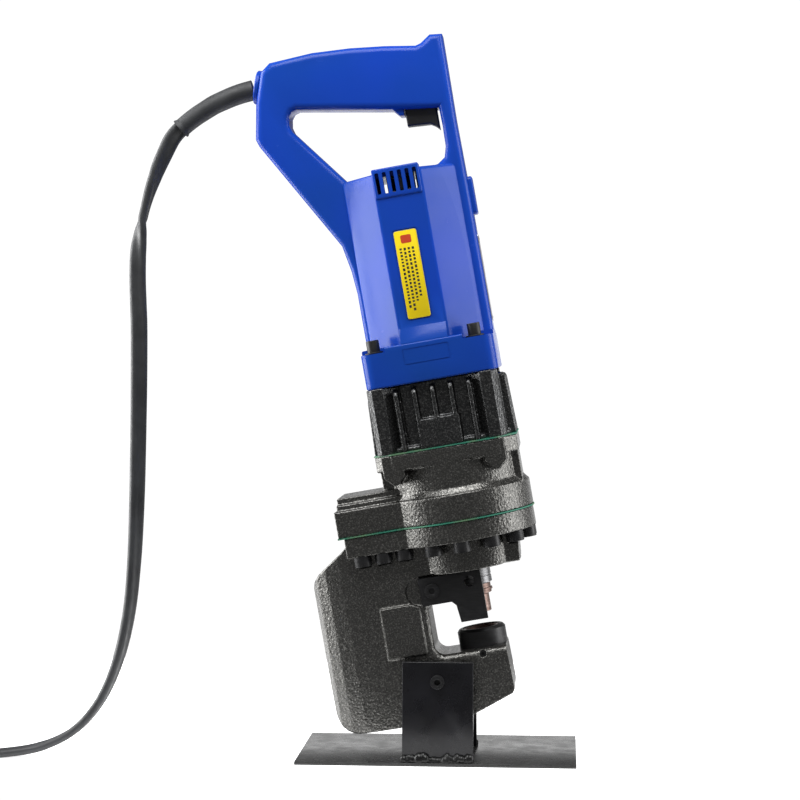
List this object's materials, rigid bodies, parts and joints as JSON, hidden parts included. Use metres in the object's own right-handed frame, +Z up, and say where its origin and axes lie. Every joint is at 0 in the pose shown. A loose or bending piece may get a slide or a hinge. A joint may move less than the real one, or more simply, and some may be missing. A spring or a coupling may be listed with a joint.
{
  "type": "hydraulic hole puncher",
  "caption": "Portable electro-hydraulic hole puncher: C-frame with round punch and die, finned gear case, motor housing with D-handle and cord, leaning on a steel stand.",
  "frame": {"origin": "underside of the base plate, straight below the pivot screws, at the tool's mid-plane", "axes": "+Z up; +X to the throat side; -Y to the side with the label; the tool's axis leans 10 degrees from +Z towards -X"},
  "size_m": [0.6185, 0.1585, 0.5556],
  "materials": {
    "stand_paint": "smooth black paint",
    "plate_paint": "satin dark paint",
    "weld": "painted weld bead",
    "cast_paint": "black hammertone over casting",
    "case_paint": "black paint over finned casting",
    "black_steel": "blackened steel",
    "tool_steel": "ground tool steel",
    "bright_steel": "machined",
    "gasket": "green gasket sheet",
    "blue_plastic": "gloss blue",
    "black_plastic": "black moulding",
    "label": "yellow printed film",
    "aluminium": "plate",
    "cord_rubber": "dark grey rubber",
    "inner_rubber": "oil-proof rubber",
    "copper": "enamelled copper",
    "brass": "pressed brass",
    "laminations": "stacked steel sheet",
    "carbon": "carbon",
    "pump_iron": "machined iron"
  },
  "bodies": {
    "stand": {"base_plate": "plate_paint", "stand_ears": "stand_paint", "weld_beads": "weld", "pivot_screws": "black_steel", "pivot_spacers": "bright_steel", "cord_lower": "cord_rubber", "cord_coil": "cord_rubber", "plug": "black_plastic"},
    "armature": {"armature_shaft": "bright_steel", "armature_core": "laminations", "armature_windings": "copper", "commutator": "copper", "cooling_fan": "black_plastic"},
    "gear_shaft": {"eccentric_shaft": "bright_steel", "eccentric_ring": "bright_steel", "drive_gear": "bright_steel"},
    "ram": {"piston": "bright_steel", "piston_seal": "inner_rubber", "punch_holder": "bright_steel", "punch_nut": "tool_steel", "punch": "tool_steel"},
    "trigger_body": {"trigger": "black_plastic"},
    "lever": {"release_valve": "bright_steel", "return_lever": "black_steel"},
    "tool": {"c_frame": "cast_paint", "die_ring": "black_steel", "die": "tool_steel", "die_set_screw": "black_steel", "stripper_front": "black_steel", "stripper_rear": "black_steel", "stripper_screws": "black_steel", "flange_bolts": "black_steel", "flange_gasket": "gasket", "cylinder_housing": "cast_paint", "housing_gasket": "gasket", "finned_case": "case_paint", "return_spring": "bright_steel", "oil_bladder": "inner_rubber", "pump_block": "pump_iron", "pump_plunger": "bright_steel", "plunger_spring": "bright_steel", "gear_bearings": "bright_steel", "motor_bearings": "bright_steel", "field_stator": "laminations", "field_coils": "copper", "carbon_brushes": "carbon", "brush_holders": "brass", "handle_shell_front": "blue_plastic", "handle_shell_rear": "blue_plastic", "shell_screws": "black_steel", "collar_screws": "black_steel", "collar_washers": "black_steel", "brush_cover": "blue_plastic", "nameplate": "aluminium", "warning_label": "label", "switch_module": "black_plastic", "trigger_spring": "bright_steel", "cord_collar": "blue_plastic", "cord_guard": "cord_rubber", "cord_upper": "cord_rubber"}
  },
  "joints": [
    {"name": "tool_tilt", "type": "hinge", "parent": "stand", "child": "tool", "pos_m": [0, 0, 0.064], "axis": [0, 1, 0], "range_deg": [-12, 20], "deforming": ["cord_upper"]},
    {"name": "armature_spin", "type": "hinge", "parent": "tool", "child": "armature", "pos_m": [-0.01664, 0, 0.36569], "axis": [-0.1736, 0, 0.9848], "continuous": true},
    {"name": "gear_spin", "type": "hinge", "parent": "tool", "child": "gear_shaft", "pos_m": [0.02071, 0, 0.2748], "axis": [-0.1736, 0, 0.9848], "continuous": true},
    {"name": "ram_stroke", "type": "slide", "parent": "tool", "child": "ram", "axis": [0.1736, 0, -0.9848], "range_m": [0, 0.016], "stiffness_N_per_m": 2000, "springref_m": -0.02, "deforming": ["return_spring"]},
    {"name": "trigger_pull", "type": "slide", "parent": "tool", "child": "trigger_body", "axis": [-0.1736, 0, 0.9848], "range_m": [0, 0.005], "stiffness_N_per_m": 600, "springref_m": -0.004, "deforming": ["trigger_spring"]},
    {"name": "lever_turn", "type": "hinge", "parent": "tool", "child": "lever", "pos_m": [-0.02211, 0.058, 0.21242], "axis": [0, 1, 0], "range_deg": [-70, 0]}
  ],
  "couplings": [
    {"joint": "gear_spin", "follows": "armature_spin", "ratio": -0.3125}
  ]
}
